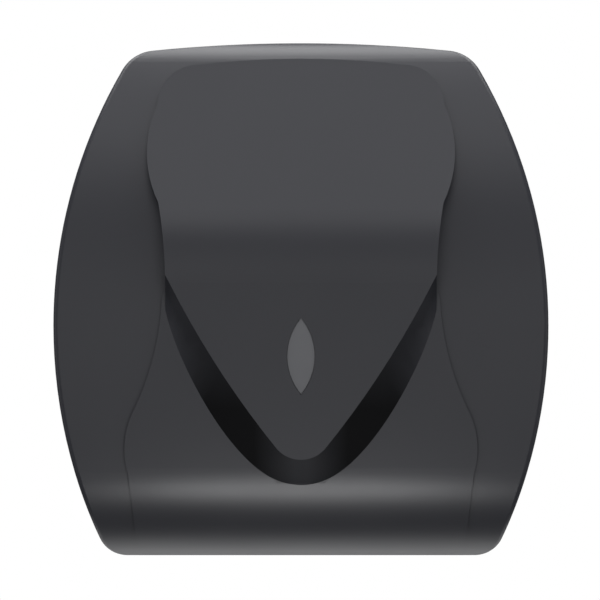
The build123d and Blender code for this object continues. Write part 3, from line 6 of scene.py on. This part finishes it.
import bpy
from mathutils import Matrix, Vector


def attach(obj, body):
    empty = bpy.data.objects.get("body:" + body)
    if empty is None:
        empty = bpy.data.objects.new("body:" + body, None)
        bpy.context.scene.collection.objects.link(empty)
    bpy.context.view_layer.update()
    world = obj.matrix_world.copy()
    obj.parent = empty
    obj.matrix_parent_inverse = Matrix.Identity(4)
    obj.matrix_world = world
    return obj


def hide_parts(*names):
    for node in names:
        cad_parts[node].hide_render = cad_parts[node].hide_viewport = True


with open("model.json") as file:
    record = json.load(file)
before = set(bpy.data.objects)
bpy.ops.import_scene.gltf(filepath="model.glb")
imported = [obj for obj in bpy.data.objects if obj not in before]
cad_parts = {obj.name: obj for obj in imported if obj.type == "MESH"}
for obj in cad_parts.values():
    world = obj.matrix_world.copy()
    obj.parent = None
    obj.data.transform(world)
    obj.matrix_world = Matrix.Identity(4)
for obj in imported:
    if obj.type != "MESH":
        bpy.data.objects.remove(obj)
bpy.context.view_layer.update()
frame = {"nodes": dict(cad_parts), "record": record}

# Camera
CAMERA_DISTANCE = 10.0
PICTURE_WIDTH = 0.3852
SENSOR_WIDTH = 36.0
PICTURE_CENTRE_X = -0.0006
PICTURE_CENTRE_Z = -0.0006
CAMERA_TARGET_Y = -0.18

# Light
WORLD_LEVEL = 0.2
TOP_LIGHT = {"size": (1.6, 1.0), "place": (0.0, 0.15, 1.3), "aim": (0.0, -0.12, 0.0), "power": 24.0}
FRONT_LIGHT = {"size": (1.8, 1.0), "place": (0.0, -1.8, 2.0), "aim": (0.0, -0.1, 0.0), "power": 10.5}
FILL_LIGHT = {"size": (2.6, 2.0), "place": (0.0, -3.0, 0.1), "aim": (0.0, -0.1, 0.0), "power": 15.0}
LOW_LIGHT = {"size": (0.6, 0.3), "place": (0.0, 0.06, -0.36), "aim": (0.0, 0.0, 0.0), "power": 0.6}
SHEEN_LIGHT = {"size": (0.2, 0.06), "place": (0.0, -0.4, -0.3), "aim": (0.0, -0.19, -0.12), "power": 0.5}
SIDE_LIGHT_PLACE = (1.6, -0.7, 0.1)
SIDE_LIGHT = {"size": (0.9, 1.4), "aim": (0.0, -0.1, 0.0), "power": 3.0}

# Window pane: the outlines are two arcs, given by radius and how far each centre lies off the middle
PANE_ARC = 0.03809
PANE_OFFSET = 0.02939
PANE_THICKNESS = 0.0022
PANE_SINK = 0.0002
FLANGE_ARC = 0.04092
FLANGE_OFFSET = 0.03012
FLANGE_THICKNESS = 0.0015
PANE_EDGE = 0.0005
FLANGE_EDGE = 0.0002
PANE_LEAN = math.radians(3.0)
PANE_FRONT = 0.21824
PANE_CENTRE = -0.02517

# Where a colour mix node takes its two colours and gives its result
FIRST_COLOUR = 6
SECOND_COLOUR = 7
MIXED_COLOUR = 2

# The V bevel's painted shade: the bevel's surface, told apart by where it lies and how far it faces down, is
# darkened as if in shade under the shield
BEVEL_FACING = 0.3
BEVEL_LOWEST = -0.1185
BEVEL_TURN_X = 0.015
BEVEL_RISE = 0.74
BEVEL_RISE_END_X = 0.09
BEVEL_FACING_FADE = 0.06
BEVEL_PALEST = 0.35
BEVEL_FADE_TOP = -0.005
BEVEL_FADE_LOW = -0.07
BEVEL_TIP_HALF = 0.03


def linear(hex_colour):
    """Scene-linear RGBA of an sRGB hex colour."""
    channels = [int(hex_colour[i:i + 2], 16) / 255 for i in (0, 2, 4)]
    return tuple(c / 12.92 if c <= 0.04045 else ((c + 0.055) / 1.055) ** 2.4 for c in channels) + (1.0,)


def add_node(tree, kind, settings=None, links=None):
    """Adds a node, sets its properties and input values, and links its inputs from other sockets."""
    node = tree.nodes.new(kind)
    for name, value in (settings or {}).items():
        if hasattr(node, name):
            setattr(node, name, value)
        else:
            node.inputs[name].default_value = value
    for name, socket in (links or {}).items():
        tree.links.new(socket, node.inputs[name])
    return node


def new_material(name):
    """An empty material with its principled shader, and the object's own coordinates in metres."""
    material = bpy.data.materials.new(name)
    material.use_nodes = True
    tree = material.node_tree
    shader = tree.nodes["Principled BSDF"]
    place = add_node(tree, "ShaderNodeTexCoord")
    return material, tree, shader, place.outputs["Object"]


def set_constants(shader, **values):
    """Sets the shader's own sockets, called by short names."""
    names = {"rough": "Roughness", "metal": "Metallic", "colour": "Base Color", "level": "Specular IOR Level",
             "coat": "Coat Weight", "coat_rough": "Coat Roughness", "subsurface": "Subsurface Weight"}
    for key, value in values.items():
        shader.inputs[names[key]].default_value = value


def mix_colours(tree, shader, factor, first, second):
    """Base colour that goes from the first hex colour to the second as the factor goes from 0 to 1."""
    tint = add_node(tree, "ShaderNodeMix", {"data_type": "RGBA"})
    tint.inputs[FIRST_COLOUR].default_value = linear(first)
    tint.inputs[SECOND_COLOUR].default_value = linear(second)
    tree.links.new(factor, tint.inputs[0])
    tree.links.new(tint.outputs[MIXED_COLOUR], shader.inputs["Base Color"])


def grain_bump(tree, shader, place, grain, strength, depth=0.00002):
    """Fine moulded grain: a noise of the given size in metres that tips the surface slightly."""
    noise = add_node(tree, "ShaderNodeTexNoise", {"Scale": 1 / grain, "Detail": 2.0}, {"Vector": place})
    bump = add_node(tree, "ShaderNodeBump", {"Strength": strength, "Distance": depth},
                    {"Height": noise.outputs["Fac"]})
    tree.links.new(bump.outputs["Normal"], shader.inputs["Normal"])


def uneven_gloss(tree, shader, place, size, low, high):
    """Gloss that drifts gently over the surface, as on a moulding that has been handled and wiped."""
    noise = add_node(tree, "ShaderNodeTexNoise", {"Scale": 1 / size, "Detail": 3.0}, {"Vector": place})
    spread = add_node(tree, "ShaderNodeMapRange", {"To Min": low, "To Max": high},
                      {"Value": noise.outputs["Fac"]})
    tree.links.new(spread.outputs["Result"], shader.inputs["Roughness"])


def moulded_plastic(name, colour, rough, grain=0.0004, strength=0.25, level=0.5):
    """Injection-moulded plastic: even colour, satin gloss that drifts, and a fine spark-eroded grain."""
    material, tree, shader, place = new_material(name)
    set_constants(shader, colour=linear(colour), level=level)
    uneven_gloss(tree, shader, place, 0.06, rough - 0.03, rough + 0.03)
    grain_bump(tree, shader, place, grain, strength)
    return material


def cover_plastic(name):
    """Satin charcoal ABS with a fine grain; the V bevel under the shield gets painted shade, darker in colour
    and lower in gloss.
    """
    material, tree, shader, place = new_material(name)
    uneven_gloss(tree, shader, place, 0.06, 0.39, 0.45)
    grain_bump(tree, shader, place, 0.0005, 0.16)
    own = add_node(tree, "ShaderNodeTexCoord")
    slope = add_node(tree, "ShaderNodeSeparateXYZ", {}, {"Vector": own.outputs["Normal"]})
    height = add_node(tree, "ShaderNodeSeparateXYZ", {}, {"Vector": place})
    facing_down = add_node(tree, "ShaderNodeMapRange",
                           {"From Min": BEVEL_FACING_FADE - BEVEL_FACING, "From Max": -BEVEL_FACING},
                           {"Value": slope.outputs["Z"]})
    off_centre = add_node(tree, "ShaderNodeMath", {"operation": "ABSOLUTE"})
    tree.links.new(height.outputs["X"], off_centre.inputs[0])
    rise = add_node(tree, "ShaderNodeMapRange",
                    {"From Min": BEVEL_TURN_X, "From Max": BEVEL_RISE_END_X,
                     "To Max": BEVEL_RISE * (BEVEL_RISE_END_X - BEVEL_TURN_X)},
                    {"Value": off_centre.outputs[0]})
    over_edge = add_node(tree, "ShaderNodeMath", {"operation": "SUBTRACT"})
    tree.links.new(height.outputs["Z"], over_edge.inputs[0])
    tree.links.new(rise.outputs["Result"], over_edge.inputs[1])
    above_foot = add_node(tree, "ShaderNodeMapRange",
                          {"From Min": BEVEL_LOWEST, "From Max": BEVEL_LOWEST + 0.001},
                          {"Value": over_edge.outputs[0]})
    fade = add_node(tree, "ShaderNodeMapRange",
                    {"From Min": BEVEL_FADE_TOP, "From Max": BEVEL_FADE_LOW,
                     "To Min": BEVEL_PALEST, "To Max": 1.0},
                    {"Value": height.outputs["Z"]})
    tip = add_node(tree, "ShaderNodeMapRange",
                   {"From Min": 0.004, "From Max": BEVEL_TIP_HALF,
                    "To Min": BEVEL_PALEST, "To Max": 1.0},
                   {"Value": off_centre.outputs[0]})
    # Painted shade on the V bevel: strongest where the bevel faces down, paler towards its top and at the
    # middle of its tip
    painted_shade = facing_down.outputs["Result"]
    for limit in (above_foot, fade, tip):
        product = add_node(tree, "ShaderNodeMath", {"operation": "MULTIPLY"})
        tree.links.new(painted_shade, product.inputs[0])
        tree.links.new(limit.outputs["Result"], product.inputs[1])
        painted_shade = product.outputs[0]
    # Painted shade: the bevel's colour goes to near-black 101012 and its specular level drops from 0.5 to
    # 0.12
    mix_colours(tree, shader, painted_shade, "2D2E35", "101012")
    level = add_node(tree, "ShaderNodeMapRange", {"To Min": 0.5, "To Max": 0.12}, {"Value": painted_shade})
    tree.links.new(level.outputs["Result"], shader.inputs["Specular IOR Level"])
    return material


def waxy_plastic(name, colour, rough):
    """Machined or moulded acetal: light scatters a little inside and the surface has a waxy sheen."""
    material, tree, shader, place = new_material(name)
    set_constants(shader, colour=linear(colour), rough=rough, subsurface=0.05)
    shader.inputs["Subsurface Radius"].default_value = (0.002, 0.002, 0.0015)
    grain_bump(tree, shader, place, 0.0012, 0.1)
    return material


def zinc_plated(name, colour, rough):
    """Zinc-plated steel: bluish metal with a faintly clouded passivated film."""
    material, tree, shader, place = new_material(name)
    set_constants(shader, metal=1.0)
    cloud = add_node(tree, "ShaderNodeTexNoise", {"Scale": 260.0, "Detail": 4.0}, {"Vector": place})
    mix_colours(tree, shader, cloud.outputs["Fac"], colour, "B9B6A4")
    uneven_gloss(tree, shader, place, 0.004, rough - 0.06, rough + 0.08)
    return material


def drawn_wire(name, colour, rough):
    """Hard-drawn spring wire: bright steel whose gloss varies a little along the wire."""
    material, tree, shader, place = new_material(name)
    set_constants(shader, metal=1.0, colour=linear(colour))
    uneven_gloss(tree, shader, place, 0.002, rough - 0.05, rough + 0.05)
    return material


def ground_strip(name, colour, rough):
    """Ground stainless strip: grinding lines run along the blade's length."""
    material, tree, shader, place = new_material(name)
    set_constants(shader, metal=1.0, colour=linear(colour))
    stretch = add_node(tree, "ShaderNodeMapping", {"Scale": (12.0, 2600.0, 2600.0)}, {"Vector": place})
    lines = add_node(tree, "ShaderNodeTexNoise", {"Scale": 1.0, "Detail": 3.0},
                     {"Vector": stretch.outputs["Vector"]})
    spread = add_node(tree, "ShaderNodeMapRange", {"To Min": rough - 0.08, "To Max": rough + 0.12},
                      {"Value": lines.outputs["Fac"]})
    tree.links.new(spread.outputs["Result"], shader.inputs["Roughness"])
    bump = add_node(tree, "ShaderNodeBump", {"Strength": 0.2, "Distance": 0.00001},
                    {"Height": lines.outputs["Fac"]})
    tree.links.new(bump.outputs["Normal"], shader.inputs["Normal"])
    return material


def matt_rubber(name, colour):
    """Moulded rubber: deep matt black with a dusty bloom and fine pitting."""
    material, tree, shader, place = new_material(name)
    bloom = add_node(tree, "ShaderNodeTexNoise", {"Scale": 90.0, "Detail": 5.0}, {"Vector": place})
    mix_colours(tree, shader, bloom.outputs["Fac"], colour, "3A3A3B")
    set_constants(shader, rough=0.82, level=0.3)
    grain_bump(tree, shader, place, 0.0007, 0.4)
    return material


def smoked_window(name, colour):
    """Polished smoked polycarbonate, drawn opaque: smooth and grey, with a clear coat over it."""
    material, tree, shader, place = new_material(name)
    set_constants(shader, colour=linear(colour), level=0.5, coat=0.35, coat_rough=0.06)
    uneven_gloss(tree, shader, place, 0.03, 0.2, 0.26)
    return material


def plated_casting(name, colour, rough):
    """Nickel-plated zinc casting: bright, warm grey, with soft unevenness under the plating."""
    material, tree, shader, place = new_material(name)
    set_constants(shader, metal=1.0, colour=linear(colour))
    uneven_gloss(tree, shader, place, 0.006, rough - 0.04, rough + 0.06)
    grain_bump(tree, shader, place, 0.002, 0.08)
    return material


MATERIALS = {
    "cover_abs": cover_plastic("cover satin charcoal ABS"),
    "window_smoke": smoked_window("window smoked polycarbonate", "5E5F64"),
    "case_abs": moulded_plastic("case dark grey ABS", "34353A", 0.58),
    "frame_abs": moulded_plastic("frames mid grey ABS", "5E6064", 0.55),
    "zinc_steel": zinc_plated("fixings zinc-plated steel", "A9ADB2", 0.34),
    "spring_wire": drawn_wire("springs hard-drawn wire", "8A8C90", 0.3),
    "acetal": waxy_plastic("bushes and knife parts natural acetal", "DAD7CC", 0.42),
    "hub_plastic": moulded_plastic("hubs grey polypropylene", "7F8287", 0.5),
    "drum_abs": moulded_plastic("drum dark ABS", "3B3C40", 0.5),
    "grip_rubber": matt_rubber("grips and rollers black rubber", "1D1D1E"),
    "wheel_plastic": moulded_plastic("feed wheel blue-grey ABS", "66737A", 0.45),
    "blade_steel": ground_strip("knife ground stainless strip", "C4C5C6", 0.3),
    "plated_zinc": plated_casting("lock nickel-plated casting", "C7C3B8", 0.24),
}


def dress_cad_nodes():
    """Gives each node of the frame the material of its slot."""
    for entry in frame["record"]["subparts"]:
        mesh = frame["nodes"][entry["node"]].data
        mesh.materials.clear()
        mesh.materials.append(MATERIALS[entry["material_slot"]])


def lens_plate(name, arc, offset, low, high, edge):
    """A plate with a lens outline: what two round discs share, its rims eased by a small bevel."""
    discs = []
    for side in (-1, 1):
        bpy.ops.mesh.primitive_cylinder_add(vertices=360, radius=arc, depth=high - low,
                                            location=(side * offset, 0, (low + high) / 2))
        bpy.ops.object.transform_apply(location=True, rotation=True, scale=True)
        discs.append(bpy.context.active_object)
    plate, cutter = discs
    plate.name = name
    bpy.context.view_layer.objects.active = plate
    shared = plate.modifiers.new("shared", "BOOLEAN")
    shared.operation = "INTERSECT"
    shared.solver = "EXACT"
    shared.object = cutter
    bpy.ops.object.modifier_apply(modifier=shared.name)
    bpy.data.objects.remove(cutter, do_unlink=True)
    eased = plate.modifiers.new("eased", "BEVEL")
    eased.width = edge
    eased.segments = 4
    eased.limit_method = "ANGLE"
    eased.angle_limit = math.radians(40)
    bpy.ops.object.modifier_apply(modifier=eased.name)
    return plate


def window_pane():
    """The smoked pane: a lens-shaped plate with polished rims, on a thin flange behind the cover's wall."""
    bpy.ops.object.select_all(action="DESELECT")
    front = lens_plate("window_pane", PANE_ARC, PANE_OFFSET, -PANE_THICKNESS - PANE_SINK, 0.0, PANE_EDGE)
    flange_top = -PANE_THICKNESS
    flange_foot = flange_top - FLANGE_THICKNESS
    flange = lens_plate("flange", FLANGE_ARC, FLANGE_OFFSET, flange_foot, flange_top, FLANGE_EDGE)
    bpy.ops.object.select_all(action="DESELECT")
    flange.select_set(True)
    front.select_set(True)
    bpy.context.view_layer.objects.active = front
    bpy.ops.object.join()
    normal = Vector((0, -math.cos(PANE_LEAN), -math.sin(PANE_LEAN)))
    upward = Vector((0, -math.sin(PANE_LEAN), math.cos(PANE_LEAN)))
    front.rotation_euler = (math.radians(90) + PANE_LEAN, 0, 0)
    front.location = normal * PANE_FRONT + upward * PANE_CENTRE
    bpy.ops.object.transform_apply(location=True, rotation=True, scale=True)
    bpy.ops.object.shade_smooth_by_angle(angle=math.radians(35))
    front.data.materials.clear()
    front.data.materials.append(MATERIALS["window_smoke"])
    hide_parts("window_lens")
    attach(front, "cover")


def add_light(name, size, place, aim, power):
    """A rectangular soft light aimed at a point."""
    data = bpy.data.lights.new(name, "AREA")
    data.shape = "RECTANGLE"
    data.size, data.size_y = size
    data.energy = power
    light = bpy.data.objects.new(name, data)
    bpy.context.scene.collection.objects.link(light)
    light.location = place
    light.rotation_euler = (Vector(aim) - Vector(place)).to_track_quat("-Z", "Y").to_euler()
    return light


def set_world():
    """White behind the object for the camera, and a softer even light for everything else."""
    world = bpy.data.worlds.new("studio")
    bpy.context.scene.world = world
    world.use_nodes = True
    tree = world.node_tree
    tree.nodes.clear()
    path = add_node(tree, "ShaderNodeLightPath")
    seen = add_node(tree, "ShaderNodeBackground", {"Color": (1, 1, 1, 1), "Strength": 1.0})
    felt = add_node(tree, "ShaderNodeBackground", {"Color": (0.97, 0.98, 1, 1), "Strength": WORLD_LEVEL})
    mix = add_node(tree, "ShaderNodeMixShader", {}, {"Fac": path.outputs["Is Camera Ray"]})
    tree.links.new(felt.outputs[0], mix.inputs[1])
    tree.links.new(seen.outputs[0], mix.inputs[2])
    add_node(tree, "ShaderNodeOutputWorld", {}, {"Surface": mix.outputs[0]})


def set_camera():
    """Long lens, square to the front, framed as in the photograph."""
    data = bpy.data.cameras.new("camera")
    data.sensor_width = SENSOR_WIDTH
    data.lens = SENSOR_WIDTH * CAMERA_DISTANCE / PICTURE_WIDTH
    camera = bpy.data.objects.new("camera", data)
    bpy.context.scene.collection.objects.link(camera)
    camera.location = (PICTURE_CENTRE_X, CAMERA_TARGET_Y - CAMERA_DISTANCE, PICTURE_CENTRE_Z)
    camera.rotation_euler = (math.radians(90), 0, 0)
    bpy.context.scene.camera = camera


def set_studio():
    """World, camera and the seven soft lights."""
    set_world()
    set_camera()
    add_light("top light", **TOP_LIGHT)
    add_light("front light", **FRONT_LIGHT)
    add_light("fill light", **FILL_LIGHT)
    add_light("low light", **LOW_LIGHT)
    add_light("sheen light", **SHEEN_LIGHT).visible_diffuse = False
    for side in (-1, 1):
        across, depth, height = SIDE_LIGHT_PLACE
        add_light("side light", place=(side * across, depth, height), **SIDE_LIGHT)
    bpy.context.scene.view_settings.view_transform = "Standard"


dress_cad_nodes()
window_pane()
set_studio()
